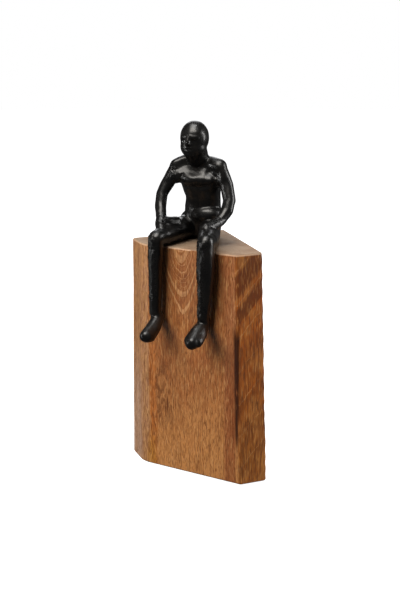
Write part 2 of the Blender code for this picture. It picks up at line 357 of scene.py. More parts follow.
class Finish:
    """A material in the making, with one short call for each kind of node."""

    def __init__(self, name):
        self.material = bpy.data.materials.new(name)
        self.material.use_nodes = True
        self.tree = self.material.node_tree
        self.shader = self.tree.nodes["Principled BSDF"]
        objects = self.node("TexCoord").outputs["Object"]
        self.place = self.mapping(objects, (1 / MM,) * 3, tuple(-SHELF_SHIFT))

    def put(self, socket, value):
        if isinstance(value, bpy.types.NodeSocket):
            self.tree.links.new(value, socket)
        elif isinstance(value, (tuple, list)) and len(value) == 3 and socket.type == 'RGBA':
            socket.default_value = (*value, 1.0)
        else:
            socket.default_value = value

    def node(self, kind, **inputs):
        """Add a node, and set or link its inputs by name."""
        node = self.tree.nodes.new("ShaderNode" + kind)
        for name, value in inputs.items():
            self.put(node.inputs[name], value)
        return node

    def mapping(self, vector, scale, shift, turn=(0, 0, 0)):
        return self.node("Mapping", Vector=vector, Scale=scale, Location=shift, Rotation=turn).outputs[0]

    def math(self, operation, first, second=0.0, third=0.0):
        node = self.node("Math")
        node.operation = operation
        for socket, value in zip(node.inputs, (first, second, third)):
            self.put(socket, value)
        return node.outputs[0]

    def add(self, first, second):
        return self.math('ADD', first, second)

    def times(self, first, second):
        return self.math('MULTIPLY', first, second)

    def spread(self, share, reach):
        """Turn noise from 0 to 1 into a distance to both sides of zero, this far across."""
        return self.math('MULTIPLY_ADD', share, reach, -reach / 2)

    def split(self, vector):
        return self.node("SeparateXYZ", Vector=vector).outputs

    def noise(self, rates, detail=2.0, rough=0.5, distortion=0.0, shift=(0, 0, 0), turn=(0, 0, 0)):
        """Noise in shelf millimetres, with its features per millimetre along X, Y and Z."""
        place = self.mapping(self.place, rates, shift, turn)
        node = self.node("TexNoise", Vector=place, Scale=1.0, Detail=detail, Roughness=rough,
                         Distortion=distortion)
        return node.outputs["Fac"]

    def bands(self, along, rate, detail=1.0):
        """Noise along one number: uneven stripes."""
        node = self.node("TexNoise", Scale=rate, Detail=detail)
        node.noise_dimensions = '1D'
        self.put(node.inputs["W"], along)
        return node.outputs["Fac"]

    def rise(self, value, low, high):
        """0 below low, 1 above high, and smooth between. With low above high it falls instead."""
        node = self.node("MapRange", Value=value)
        node.interpolation_type = 'SMOOTHSTEP'
        falling = float(low > high)
        ends = (min(low, high), max(low, high), falling, 1.0 - falling)
        for name, end in zip(("From Min", "From Max", "To Min", "To Max"), ends):
            node.inputs[name].default_value = end
        return node.outputs["Result"]

    def window(self, value, low, high, soft):
        """1 between low and high, fading out over the soft distance on both sides."""
        opening = self.rise(value, low - soft, low + soft)
        return self.times(opening, self.rise(value, high + soft, high - soft))

    def mix(self, share, first, second):
        node = self.node("Mix")
        node.data_type = 'RGBA'
        self.put(node.inputs[0], share)
        self.put(node.inputs[6], first)
        self.put(node.inputs[7], second)
        return node.outputs[2]

    def layer(self, colour, **layers):
        """Lay named layers over a colour: where each shows, how strongly, and its tone."""
        for where, strength, tone in layers.values():
            colour = self.mix(self.times(where, strength), colour, tone)
        return colour

    def bump(self, height, distance, strength):
        node = self.node("Bump", Height=height, Distance=distance, Strength=strength)
        return node.outputs["Normal"]

    def set(self, **sockets):
        """Set the shader's own sockets, or link to them."""
        for name, value in sockets.items():
            self.put(self.shader.inputs[name.replace("_", " ")], value)


# ---- the block ----

def spread_at(spot_xy):
    """How far the foot stands out below this point of the plan."""
    corners = [Vector((x, y, 0.0)) for x, y in OUTLINE]
    weights = poly_3d_calc(corners, Vector((*spot_xy, 0.0)))
    return sum((w * Vector(s) for w, s in zip(weights, FOOT_SPREAD)), Vector((0.0, 0.0)))


def block_prism(settings):
    """The five-sided prism with its upright edges and rims rounded."""
    bm = bmesh.new()
    top = bm.faces.new([bm.verts.new((x, y, SEAT)) for x, y in OUTLINE])
    grown = bmesh.ops.extrude_face_region(bm, geom=[top], use_keep_orig=True)
    foot = [item for item in grown["geom"] if isinstance(item, bmesh.types.BMVert)]
    bmesh.ops.translate(bm, verts=foot, vec=(0, 0, -BLOCK_HEIGHT))
    for corner, radius in zip(OUTLINE, UPRIGHT_ROUNDS):
        upright = [edge for edge in bm.edges
                   if all((vert.co.xy - Vector(corner)).length < GAP for vert in edge.verts)]
        bmesh.ops.bevel(bm, geom=upright, offset=radius, segments=6, profile=0.5, affect='EDGES',
                        material=-1)
    round_rims(bm, settings.rim_round / MM, 3)
    return bm


def shape_block(settings):
    """The prism with its sawn and sanded relief, spread out towards the foot."""
    bm = block_prism(settings)
    step = settings.facet / MM
    for axis in (2, 0, 1):
        slices(bm, axis, step)
    bm.normal_update()
    ripple_corner = Vector(OUTLINE[1])
    drift, drift_size = RIPPLE_DRIFT
    for vert in bm.verts:
        out = vert.normal.copy()
        if abs(out.z) < FLAT_ON_TOP:
            out.z = 0.0
        near = max(0.0, 1.0 - (vert.co.xy - ripple_corner).length / RIPPLE_REACH)
        shift = drift * wander(vert.co, drift_size)
        wave = math.sin(math.tau * vert.co.z * MM / settings.saw_pitch + shift)
        lift = settings.relief / MM * wander(vert.co, RELIEF_SIZE)
        lift += settings.saw_ripple / MM * near * (wave - RIPPLE_SINK)
        fall = (SEAT - vert.co.z) / BLOCK_HEIGHT
        spread = spread_at(vert.co.xy)
        if FOOT + GAP < vert.co.z < SEAT - GAP:
            vert.co += out * lift
        vert.co += Vector((*(spread * fall), 0.0))
    return piece_from(bm, "hardwood_block")


# ---- the wood ----

FIBRE_LEAN = (0, math.radians(5), 0)
PITH_SIDE = -6.5  # where the rings' middle stands beside the block's middle
PITH_GAP = 50  # how far in front of the block it stands at the shelf
PITH_LEAN = -0.16  # and how it comes nearer with the height
RINGS_PER_MM = 0.5
BROAD_RINGS_PER_MM = 0.11
SAW_SLANT = -1.1  # rise of the saw bands along the narrow side
SAW_BANDS_PER_MM = 0.042
SAW_LINE_REACH = 15  # the saw lines stand twice this far apart
SIDE_FLARE = 2.4  # how far the narrow side stands out at its foot
SIDE_DEPTH = 2.4  # how far its tone reaches into the wood


def wood_patterns(f):
    """The patterns that the layers of the wood share."""
    w = SimpleNamespace()
    w.x, w.y, w.z = f.split(f.place)
    w.tremble = f.noise((0.25, 0.25, 0.07))
    w.fibres = f.noise((0.9, 0.9, 0.025), 3, 0.6, turn=FIBRE_LEAN)
    w.pores = f.noise((1.1, 1.1, 0.085), 1, 0.4, turn=FIBRE_LEAN)
    w.fine_pores = f.noise((2, 2, 0.22), 1, 0.4, shift=(7, 3, 1), turn=FIBRE_LEAN)
    w.pale_flecks = f.noise((1.2, 1.2, 0.11), 1, 0.4, shift=(3, 9, 5), turn=FIBRE_LEAN)
    w.clouds = f.noise((0.06, 0.06, 0.03), 3, shift=(5, 1, 9))
    w.mottle = f.noise((0.2, 0.2, 0.09), 3, 0.6, shift=(1, 7, 3))
    edge_noise = f.spread(f.noise((0.3, 0.3, 0.03)), 5)
    w.plan = f.add(f.math('MULTIPLY_ADD', w.y, 0.25, w.x), edge_noise)
    return w


def growth_rings(f, w):
    """Rings round a pith in front of the block that leans away towards the foot."""
    across = f.add(w.x, -PITH_SIDE)
    away = f.add(w.y, f.math('MULTIPLY_ADD', w.z, PITH_LEAN, PITH_GAP))
    radius = f.math('SQRT', f.add(f.times(across, across), f.times(away, away)))
    radius = f.add(radius, f.spread(f.noise((0.03, 0.03, 0.014), 1), 7))
    radius = f.add(radius, f.spread(w.tremble, 0.9))
    w.ring = f.bands(radius, RINGS_PER_MM)
    w.broad = f.bands(radius, BROAD_RINGS_PER_MM)
    line_gap = f.math('ABSOLUTE', f.add(w.ring, -0.5))
    w.light_line = f.rise(line_gap, 0.026, 0.004)
    w.dark_line = f.window(line_gap, 0.04, 0.075, 0.02)


def heartwood(f, w, heart):
    """The ground tone: broad rings and clouds, paler at the foot and darker at the top."""
    shade = tuple(c * 0.88 for c in heart)
    return f.layer(
        f.mix(f.rise(w.broad, 0.35, 0.7), heart, shade),
        pale_cloud=(f.rise(w.clouds, 0.42, 0.72), 0.6, (0.42, 0.185, 0.062)),
        red_cloud=(f.rise(w.clouds, 0.5, 0.25), 0.5, (0.33, 0.088, 0.022)),
        dark_mottle=(f.rise(w.mottle, 0.48, 0.62), 0.45, (0.27, 0.082, 0.024)),
        pale_mottle=(f.rise(w.mottle, 0.45, 0.3), 0.4, (0.5, 0.22, 0.082)),
        low=(f.rise(w.z, 110, 10), 0.8, (0.54, 0.235, 0.072)),
        high=(f.rise(w.z, 110, 180), 0.9, (0.25, 0.084, 0.026)),
    )


def streaks(f, w, colour):
    """The orange streak, the amber below it and the rosy strip by the front right edge."""
    orange = f.times(f.window(w.plan, -42, -34.5, 1.5), f.rise(w.z, 135, 95))
    w.amber = f.times(f.window(w.plan, -46, -36, 3), f.rise(w.z, 42, 8))
    rosy = f.times(f.window(w.x, 36.5, 47.5, 1.5), f.rise(w.y, 6, 2))
    return f.layer(
        colour,
        orange=(orange, 0.8, (0.4, 0.115, 0.02)),
        amber=(w.amber, 0.7, (0.5, 0.22, 0.03)),
        rosy=(rosy, 0.6, (0.31, 0.108, 0.042)),
        rosy_low=(f.times(rosy, f.rise(w.z, 160, 60)), 0.5, (0.25, 0.062, 0.016)),
    )


def sapwood(f, w, colour, sap):
    """The pale side: bleached towards the corner, with dark lines and flecks."""
    where = f.times(f.rise(w.plan, -41.5, -44.5), f.math('SUBTRACT', 1, f.times(w.amber, 0.8)))
    bleached = f.times(f.rise(w.plan, -49, -56), f.rise(w.z, 120, 60))
    tone = f.mix(f.rise(w.mottle, 0.4, 0.65), sap, (0.4, 0.2, 0.105))
    tone = f.mix(bleached, tone, (0.56, 0.36, 0.25))
    line = f.window(f.bands(w.plan, 0.42), 0.485, 0.53, 0.02)
    fleck = f.rise(f.noise((0.7, 0.7, 0.06), 2, 0.6, shift=(9, 2, 6)), 0.5, 0.62)
    return f.layer(
        f.mix(where, colour, tone),
        sap_line=(f.times(where, line), 0.8, (0.2, 0.075, 0.022)),
        sap_fleck=(f.times(where, fleck), 0.5, (0.27, 0.12, 0.045)),
    )


def grain(f, w, colour, dark):
    """Rings, then fibres and pores, darker in the flamed patch low on the left."""
    arches = f.times(f.window(w.x, -26, 14, 6), f.rise(w.z, 128, 152))
    arches = f.math('MULTIPLY_ADD', arches, 0.8, 0.2)
    flame = f.times(f.window(w.x, -38, -20, 6), f.window(w.z, 42, 106, 16))
    flame_cloud = f.noise((0.2, 0.2, 0.065), 2, 0.6, 1.5, shift=(2, 8, 4))
    return f.layer(
        colour,
        ring_dark=(f.times(w.dark_line, arches), 0.75, (0.2, 0.062, 0.018)),
        ring_light=(f.times(w.light_line, arches), 0.65, (0.52, 0.27, 0.115)),
        dark_fibres=(f.rise(w.fibres, 0.5, 0.68), 0.42, dark),
        pale_fibre=(f.rise(w.fibres, 0.47, 0.28), 0.3, (0.55, 0.26, 0.095)),
        pale_fleck=(f.rise(w.pale_flecks, 0.54, 0.68), 0.45, (0.6, 0.31, 0.12)),
        pores=(f.rise(w.pores, 0.55, 0.66), f.math('MULTIPLY_ADD', flame, 0.35, 0.38), dark),
        fine_pores=(f.rise(w.fine_pores, 0.54, 0.62), 0.62, dark),
        flames=(f.times(flame, f.rise(flame_cloud, 0.46, 0.6)), 0.6, dark),
    )


def beside_edge(f, w):
    """Distances from the front right edge: along the narrow side, and out of it."""
    fall = f.math('MULTIPLY_ADD', w.z, -1 / BLOCK_HEIGHT, SEAT / BLOCK_HEIGHT)
    beyond = f.add(w.x, -FRONT_RIGHT.x)
    run = f.add(f.times(beyond, SIDE_RUN.x), f.times(w.y, SIDE_RUN.y))
    out = f.add(f.times(beyond, SIDE_OUT.x), f.times(w.y, SIDE_OUT.y))
    return run, f.add(out, f.times(fall, -SIDE_FLARE))


def sawn_side(f, w, colour, dark):
    """The narrow right side: browner, and crossed by slanting saw bands."""
    w.run, w.out = beside_edge(f, w)
    w.side = f.rise(w.out, -SIDE_DEPTH, -SIDE_DEPTH / 2)
    slant = f.add(f.math('MULTIPLY_ADD', w.run, SAW_SLANT, w.z), f.spread(w.tremble, 5))
    saw_band = f.bands(slant, SAW_BANDS_PER_MM, 0)
    from_line = f.math('PINGPONG', f.add(slant, -12), SAW_LINE_REACH)
    w.saw_line = f.rise(f.math('ABSOLUTE', f.add(from_line, -0.3)), 0.55, 0.1)
    upper = f.math('MULTIPLY_ADD', f.rise(w.z, 120, 165), 0.65, 0.35)
    tone = f.layer(
        f.mix(f.rise(w.z, 120, 30), (0.38, 0.09, 0.01), (0.38, 0.128, 0.024)),
        side_top=(f.rise(w.z, 170, 198), 0.6, (0.22, 0.085, 0.022)),
        saw_pale=(f.rise(saw_band, 0.42, 0.3), 0.5, (0.42, 0.135, 0.025)),
        saw_line=(w.saw_line, 0.5, (0.55, 0.26, 0.09)),
        side_mottle=(f.rise(w.mottle, 0.46, 0.58), 0.45, (0.22, 0.058, 0.012)),
        side_cloud=(f.rise(w.clouds, 0.5, 0.62), 0.5, (0.5, 0.2, 0.05)),
        saw_dark=(f.times(f.rise(saw_band, 0.48, 0.56), upper), 0.85, (0.12, 0.028, 0.006)),
        side_fleck=(f.rise(w.pale_flecks, 0.54, 0.64), 0.5, (0.58, 0.26, 0.08)),
        pores=(f.rise(w.pores, 0.52, 0.62), 0.7, dark),
        side_fibre=(f.rise(w.fibres, 0.52, 0.64), 0.5, (0.15, 0.045, 0.012)),
    )
    return f.mix(f.times(w.side, 0.92), colour, tone)


def dark_edge(f, w, colour):
    """Shade on both sides of the front right edge, and the dark streak down it."""
    shade = f.times(f.rise(w.out, -13, -2.5), f.rise(w.run, 8, 1))
    streak = f.times(f.rise(w.out, -4.8, -2.8), f.rise(w.run, 4, 2))
    streak = f.times(streak, f.window(w.z, 38, 142, 10))
    broken = f.rise(f.noise((0.4, 0.4, 0.05), shift=(3, 3, 3)), 0.25, 0.42)
    return f.layer(
        colour,
        edge_shade=(f.times(shade, f.window(w.z, 40, 128, 16)), 0.5, (0.17, 0.045, 0.014)),
        edge_streak=(f.times(streak, broken), 0.95, (0.028, 0.007, 0.003)),
    )


def end_grain(f, w, colour, grey):
    """The greyed wood of the sawn top and foot, and a pale painted highlight along the rim of the top."""
    w.end = f.math('MAXIMUM', f.rise(w.z, SEAT - 1.1, SEAT - 0.2), f.rise(w.z, FOOT + 1, FOOT + 0.2))
    w.specks = f.noise((1.4, 1.4, 1.4))
    top_clouds = f.noise((0.07, 0.07, 0.07), 4, 0.6, shift=(4, 4, 4))
    tone = f.layer(
        f.mix(f.rise(top_clouds, 0.35, 0.7), grey, (0.24, 0.145, 0.085)),
        top_ring=(f.rise(w.ring, 0.5, 0.62), 0.25, (0.25, 0.15, 0.09)),
        top_speck=(f.rise(w.specks, 0.56, 0.7), 0.4, (0.2, 0.12, 0.07)),
    )
    # a pale painted highlight along the rounded rim of the top, broken up by the clouds
    rim = f.times(f.window(w.z, SEAT - 1.5, SEAT - 0.5, 0.3), f.rise(w.clouds, 0.38, 0.5))
    return f.layer(f.mix(w.end, colour, tone), worn_rim=(rim, 0.45, (0.72, 0.5, 0.34)))


def wood_height(f, w):
    """The fine relief that the light picks out: fibres, pores, rings, saw lines and end grain."""
    height = f.math('MULTIPLY_ADD', f.rise(w.pores, 0.56, 0.68), -0.6, f.times(w.fibres, 0.5))
    height = f.add(height, f.times(w.light_line, 0.15))
    height = f.add(height, f.times(f.times(w.side, w.saw_line), 0.8))
    return f.add(height, f.times(f.times(w.end, w.specks), 0.6))


def hardwood(settings):
    """Oiled hardwood: arched growth rings, pores, a pale sapwood side and a greyed sawn top."""
    f = Finish("mango_wood")
    dark = tuple(settings.dark_grain)
    w = wood_patterns(f)
    growth_rings(f, w)
    colour = heartwood(f, w, tuple(settings.heartwood))
    colour = streaks(f, w, colour)
    colour = sapwood(f, w, colour, tuple(settings.sapwood))
    colour = grain(f, w, colour, dark)
    colour = sawn_side(f, w, colour, dark)
    colour = dark_edge(f, w, colour)
    colour = end_grain(f, w, colour, tuple(settings.end_grain))
    worn = f.noise((0.2, 0.2, 0.1), 3.0, shift=(1, 2, 3))
    rough = f.add(f.math('MULTIPLY_ADD', worn, 0.22, 0.42), f.times(w.end, 0.15))
    f.set(Base_Color=colour, Roughness=rough, Normal=f.bump(wood_height(f, w), 0.0003, 0.75))
    f.set(Specular_IOR_Level=0.22)
    return f.material


class BOOKEND_OT_block(Operator):
    """Shape the hardwood block and give it its grain"""
    bl_idname = "bookend.block"
    bl_label = "Hardwood Block"

    def execute(self, context):
        settings = context.scene.bookend_block
        block = shape_block(settings)
        drill_for_studs(block)
        finish_piece(block, hardwood(settings), "mango_wood", "wood_block")
        return {'FINISHED'}


# ---- the figure ----

def add_lump(bm, create, **shape):
    """Add a ball or rod made in a bmesh of its own, which is quick however many there are."""
    lump = bmesh.new()
    create(lump, **shape)
    mesh = bpy.data.meshes.new("lump")
    lump.to_mesh(mesh)
    lump.free()
    bm.from_mesh(mesh)
    bpy.data.meshes.remove(mesh)


def rounded_limb(bm, chain):
    """Balls at the points of a limb, with tapered rods between them."""
    points = [Vector(point[:3]) + Vector((0, 0, SEAT)) for point in chain]
    radii = [point[3] for point in chain]
    for point, radius in zip(points, radii):
        add_lump(bm, bmesh.ops.create_uvsphere, u_segments=ROUND_SEGMENTS, v_segments=ROUND_SEGMENTS // 2,
                 radius=radius, matrix=Matrix.Translation(point))
    for i in range(len(points) - 1):
        along = points[i + 1] - points[i]
        turn = along.to_track_quat('Z', 'Y').to_matrix().to_4x4()
        add_lump(bm, bmesh.ops.create_cone, cap_ends=True, segments=ROUND_SEGMENTS,
                 radius1=radii[i], radius2=radii[i + 1], depth=along.length,
                 matrix=Matrix.Translation((points[i] + points[i + 1]) / 2) @ turn)


def rounded_mass(bm, centre, halves, turn):
    """An egg shape, wider one way than another."""
    place = (Matrix.Translation(Vector(centre) + Vector((0, 0, SEAT)))
             @ Matrix.Rotation(turn, 4, 'Z') @ Matrix.Diagonal((*halves, 1.0)))
    add_lump(bm, bmesh.ops.create_uvsphere, u_segments=MASS_SEGMENTS, v_segments=MASS_SEGMENTS // 2,
             radius=1.0, matrix=place)


def rounded_trunk(bm):
    """Slices from the seat to the collar, with their sizes eased between the sections."""
    heights = [section[0] for section in TRUNK]
    columns = list(zip(*TRUNK))[1:]
    for height in np.arange(heights[0], heights[-1] + TRUNK_STEP / 2, TRUNK_STEP):
        x, y, half_width, half_depth = (np.interp(height, heights, column) for column in columns)
        rounded_mass(bm, (x, y, height), (half_width, half_depth, TRUNK_ROUND), BODY_TURN)


def turned(centre, angle, side, front, up):
    """A point given from a centre as seen by the figure's viewer: right, forward and up."""
    return centre + Matrix.Rotation(angle, 3, 'Z') @ Vector((side, -front, up))


def on_head(side, front, up):
    return turned(HEAD, HEAD_TURN, side, front, up)


def on_chest(side, front, up):
    return turned(CHEST, BODY_TURN, side, front, up)


FLAT_EDGE = 1.4  # above 1, a flat is full for some way round its middle
FLAT_DEPTH = 3  # skin further off than this many times its furthest move stays
# Flats struck on the cast: a centre, a bearing, an upward tilt, half width and half height, and
# the furthest that the skin moves to meet the flat.
FLATS = (
    (on_chest(-8, 9.7, 7.4), BODY_TURN + math.radians(4), math.radians(36), 17.5, 12, 4.2),
    (on_chest(13, 7.6, 3.5), BODY_TURN + math.radians(17), math.radians(32), 8, 8, 2.2),
)


def flatten(points, centre, bearing, tilt, half_width, half_height, most):
    """Draw the skin onto a flat, fully in its middle and less towards its rim."""
    side = np.array((math.cos(bearing), math.sin(bearing), 0.0))
    back = np.array((-math.sin(bearing), math.cos(bearing), 0.0))
    up = back * math.sin(tilt) + (0, 0, math.cos(tilt))
    facing = np.cross(side, up)
    offsets = points - np.array(centre) - (0, 0, SEAT)
    away = offsets @ facing
    rim = (offsets @ side / half_width) ** 2 + (offsets @ up / half_height) ** 2
    share = np.clip(FLAT_EDGE * (1 - rim), 0, 1) * (np.abs(away) < FLAT_DEPTH * most)
    points -= facing * (np.clip(away, -most, most) * share)[:, None]


# The modelling tool's strokes: a path, its reach and its height. Below zero it is pressed in.

def side_strokes(s):
    """Marks that both sides have. The viewer's left is -1, and the right is 1."""
    return [
        ([on_head(s * 7.5, 10.5, 0.8), on_head(s * 1.5, 13, 1.4)], 2.6, 0.5),  # brow
        ([on_head(s * 5.2, 11.6, -2.2), on_head(s * 3.4, 12.4, -2.4)], 2.6, -1.2),  # eye socket
        ([on_head(s * 4.3, 11.2, -2.8)], 1.7, 0.65),  # closed lid
        ([on_head(s * 1.7, 13.6, -5.4)], 1.4, 0.6),  # nostril
        ([on_chest(s * 3.5, 11, 0.5), on_chest(s * 10, 9.5, 1.5)], 6.5, 1),  # chest
        ([on_chest(s * 2, 11, -6.2), on_chest(s * 9.5, 9.5, -4.8)], 3.2, -0.9),  # under it
    ]


def middle_strokes():
    """Nose, mouth and chin, the lines down the trunk, and the crease of the groin."""
    return [
        ([on_head(0, 14, 0), on_head(0, 15, -4.8)], 2.2, 0.7),  # bridge
        ([on_head(-3, 11.6, -9.4), on_head(0, 12.4, -9.2), on_head(3, 11.6, -9.4)], 1.3, -0.6),
        ([on_head(-2.4, 11.9, -8), on_head(2.4, 11.9, -8)], 1.5, 0.55),  # upper lip
        ([on_head(-1.8, 11.6, -10.8), on_head(1.8, 11.6, -10.8)], 1.6, 0.6),  # lower lip
        ([on_head(0, 10, -15)], 4.2, 0.9),  # chin
        ([on_chest(0, 12, -1), on_chest(0, 11, -9)], 2.2, -0.5),  # breastbone
        ([on_chest(0, 10, -9), on_chest(-1, 10, -22)], 2.6, -0.35),  # midline
        ([(-30, 36, 20.5), (-19, 38, 18), (-6, 44, 20)], 3, -1.1),  # groin
    ]


def leg_strokes():
    """Kneecaps, the dips below them, and shin bones."""
    return [
        ([(-27.8, -15.2, 6)], 5, 0.9),
        ([(23.8, -15.6, 7.5)], 5, 0.9),
        ([(-27.6, -14.8, -1.5)], 3.2, -0.5),
        ([(24, -16.5, 0)], 3.2, -0.5),
        ([(-28.2, -14.8, -6), (-28.4, -14.2, -50)], 2.2, 0.45),
        ([(23.6, -16.4, -6), (21.4, -14.2, -48)], 2.4, 0.45),
    ]


def finger_strokes():
    """Fingers lie side by side: shallow grooves run down the back of each hand."""
    marks = []
    for shift in (-2.6, 0, 2.6):
        marks.append(([(-37 + shift, 9, 25), (-31 + shift, 0.5, 17.5)], 0.9, -0.7))
        marks.append(([(12 + shift, 25, 23), (10.5 + shift, 9.5, 20)], 0.9, -0.7))
    return marks


def reach_of(points, path, radius):
    """1 on the path, falling to 0 at the radius."""
    corners = [np.array(corner, float) + (0, 0, SEAT) for corner in path]
    nearest = np.linalg.norm(points - corners[0], axis=1)
    for a, b in zip(corners, corners[1:]):
        share = np.clip((points - a) @ (b - a) / ((b - a) @ (b - a)), 0, 1)
        nearest = np.minimum(nearest, np.linalg.norm(points - a - share[:, None] * (b - a), axis=1))
    return np.clip(1 - (nearest / radius) ** 2, 0, 1) ** 2


def points_and_normals(mesh):
    """A mesh's points in shelf millimetres, and its normals."""
    count = len(mesh.vertices)
    points, normals = np.empty(count * 3), np.empty(count * 3)
    mesh.vertices.foreach_get("co", points)
    mesh.vertex_normals.foreach_get("vector", normals)
    return points.reshape(-1, 3) / MM - SHELF_SHIFT, normals.reshape(-1, 3)


def put_points(mesh, points):
    """Give a mesh its points in shelf millimetres."""
    mesh.vertices.foreach_set("co", ((points + SHELF_SHIFT) * MM).ravel())
    mesh.update()


# Where the casting is left rough, as a path and its reach: shins, the left shoulder and the hands.
ROUGH_PATHS = (
    ([(-30, -14, 8), (-30, -13.5, -40)], 9.5),
    ([(21, -15, 6), (18.5, -13.5, -48)], 10.5),
    ([(-34, 27, 62), (-36, 26, 54)], 7),
    ([(12.5, 32, 21.5), (10.5, 12, 17.5)], 7),
    ([(-36.5, 12, 23.5), (-29, 2, 15)], 7),
)
LUMP_SIZE = 9.0  # width of the hand-worked lumps
GRAIN_SIZE = 1.7  # width of the casting's grain
SMOOTH_GRAIN = 0.06  # share of the grain left where the casting is smooth


def seat_on_block(points):
    """Draw skin that reaches into the block out of it: forward or up, whichever is nearer."""
    sunk = (points[:, 1] > SEAT_FRONT) & (points[:, 2] < SEAT + GAP)
    shallow = points[:, 1] - SEAT_FRONT < SEAT + GAP - points[:, 2]
    points[sunk & shallow, 1] = SEAT_FRONT
    points[sunk & ~shallow, 2] = SEAT + GAP


def work_skin(figure, settings):
    """Model the details, leave the hand-worked unevenness and seat the figure flat."""
    mesh = figure.data
    points, normals = points_and_normals(mesh)
    points += normals * (settings.skin / MM)
    strokes = side_strokes(-1) + side_strokes(1) + middle_strokes() + leg_strokes() + finger_strokes()
    for path, radius, height in strokes:
        points += normals * (height * reach_of(points, path, radius))[:, None]
    rough = np.zeros(len(points))
    for path, radius in ROUGH_PATHS:
        rough = np.maximum(rough, reach_of(points, path, radius))
    lumps = np.array([wander(Vector(point), LUMP_SIZE, 2) for point in points])
    grain = np.array([wander(Vector(point), GRAIN_SIZE, 2) for point in points])
    height = settings.lumps / MM * lumps + settings.grain / MM * grain * (SMOOTH_GRAIN + rough)
    points += normals * height[:, None]
    seat_on_block(points)
    put_points(mesh, points)
    attribute = mesh.attributes.new("rough_cast", 'FLOAT', 'POINT')
    attribute.data.foreach_set("value", rough.astype(np.float32))


def shape_figure(settings):
    """Overlapping balls and rods, melted into one skin, then worked over."""
    bm = bmesh.new()
    for chain in LIMBS.values():
        rounded_limb(bm, chain)
    for centre, halves, turn in MASSES.values():
        rounded_mass(bm, centre, halves, turn)
    rounded_trunk(bm)
    bm.transform(TO_FRAME)
    figure = object_from(bm, "seated_figure")
    remesh = figure.modifiers.new("one_skin", 'REMESH')
    remesh.mode = 'VOXEL'
    remesh.voxel_size = settings.skin_step
    settle(figure)
    points, _ = points_and_normals(figure.data)
    for flat in FLATS:
        flatten(points, *flat)
    put_points(figure.data, points)
    soften = figure.modifiers.new("soften", 'SMOOTH')
    soften.iterations = settings.softening
    settle(figure)
    work_skin(figure, settings)
    drill_for_studs(figure)
    figure.data.shade_smooth()
    return figure


def black_paint(settings):
    """Satin black paint over an uneven casting, a little browner where it is thin."""
    f = Finish("black_paint")
    attribute = f.node("Attribute")
    attribute.attribute_name = "rough_cast"
    rough_cast = attribute.outputs["Fac"]
    clouds = f.noise((0.09, 0.09, 0.09), 3.0, 0.6)
    dimples = f.noise((0.8, 0.8, 0.8), 3.0, 0.55)
    pits = f.noise((2.2, 2.2, 2.2))
    thin_paint = (0.0052, 0.0044, 0.0038)
    colour = f.mix(f.rise(clouds, 0.4, 0.7), tuple(settings.paint), thin_paint)
    pitted = f.math('MULTIPLY_ADD', rough_cast, 0.6, 0.15)
    colour = f.layer(colour, pits=(f.rise(pits, 0.58, 0.7), pitted, (0.016, 0.015, 0.014)))
    rough = f.math('MULTIPLY_ADD', clouds, 0.16, 0.21)
    rough = f.math('MULTIPLY_ADD', rough_cast, -0.10, rough)
    rough = f.add(rough, f.times(dimples, 0.06))
    depth = f.math('MULTIPLY_ADD', rough_cast, 1.3, 0.08)
    height = f.add(f.times(dimples, 0.35), f.times(pits, depth))
    f.set(Base_Color=colour, Roughness=rough, Normal=f.bump(height, 0.0004, 0.5))
    return f.material


class BOOKEND_OT_figure(Operator):
    """Model the seated figure and paint it black"""
    bl_idname = "bookend.figure"
    bl_label = "Cast Figure"

    def execute(self, context):
        settings = context.scene.bookend_figure
        figure = shape_figure(settings)
        finish_piece(figure, black_paint(settings), "black_paint", "cast_figure")
        return {'FINISHED'}


# ---- studs and felt feet ----

STUD_SEGMENTS = 36
STUD_CHAMFER = 0.6
THREAD_STEPS = 6  # slices to one turn of the thread


def shape_stud(node, settings):
    """A headless threaded stud, with its ends chamfered."""
    centre, radius, length = round_part(node)
    pitch, depth = settings.thread_pitch, settings.thread_depth
    bm = bmesh.new()
    add_bar(bm, radius, length, STUD_SEGMENTS, (0, 0, 0))
    slices(bm, 2, pitch / THREAD_STEPS)
    for vert in bm.verts:
        angle = math.atan2(vert.co.y, vert.co.x)
        turns = vert.co.z / pitch - angle / math.tau
        groove = depth * abs(2 * (turns - math.floor(turns)) - 1)
        chamfer = max(0.0, STUD_CHAMFER * MM - (length / 2 - abs(vert.co.z)))
        keep = (radius - max(groove, chamfer)) / radius
        vert.co.x, vert.co.y = vert.co.x * keep, vert.co.y * keep
    bmesh.ops.translate(bm, verts=bm.verts, vec=centre)
    bm.transform(TO_FRAME.inverted())
    return piece_from(bm, "threaded_" + node)


def zinc_steel():
    """Bright zinc plating with a faint cloudiness and fine turning lines."""
    f = Finish("zinc_steel")
    clouds = f.noise((0.5, 0.5, 0.5), 3.0)
    lines = f.noise((0.4, 0.4, 9.0))
    colour = f.mix(clouds, (0.48, 0.49, 0.51), (0.62, 0.62, 0.60))
    rough = f.math('MULTIPLY_ADD', clouds, 0.25, 0.22)
    f.set(Base_Color=colour, Metallic=1.0, Roughness=rough, Normal=f.bump(lines, 0.00005, 0.4))
    return f.material


class BOOKEND_OT_studs(Operator):
    """Thread the two studs that hold the figure down"""
    bl_idname = "bookend.studs"
    bl_label = "Threaded Studs"

    def execute(self, context):
        steel = zinc_steel()
        for node in STUDS:
            stud = shape_stud(node, context.scene.bookend_fixings)
            finish_piece(stud, steel, "zinc_steel", node)
        return {'FINISHED'}


FELT_SEGMENTS = 72
FELT_EDGE = 0.3  # rounding of the cut edge
FELT_STEP = 0.45  # spacing of the points in the fuzz


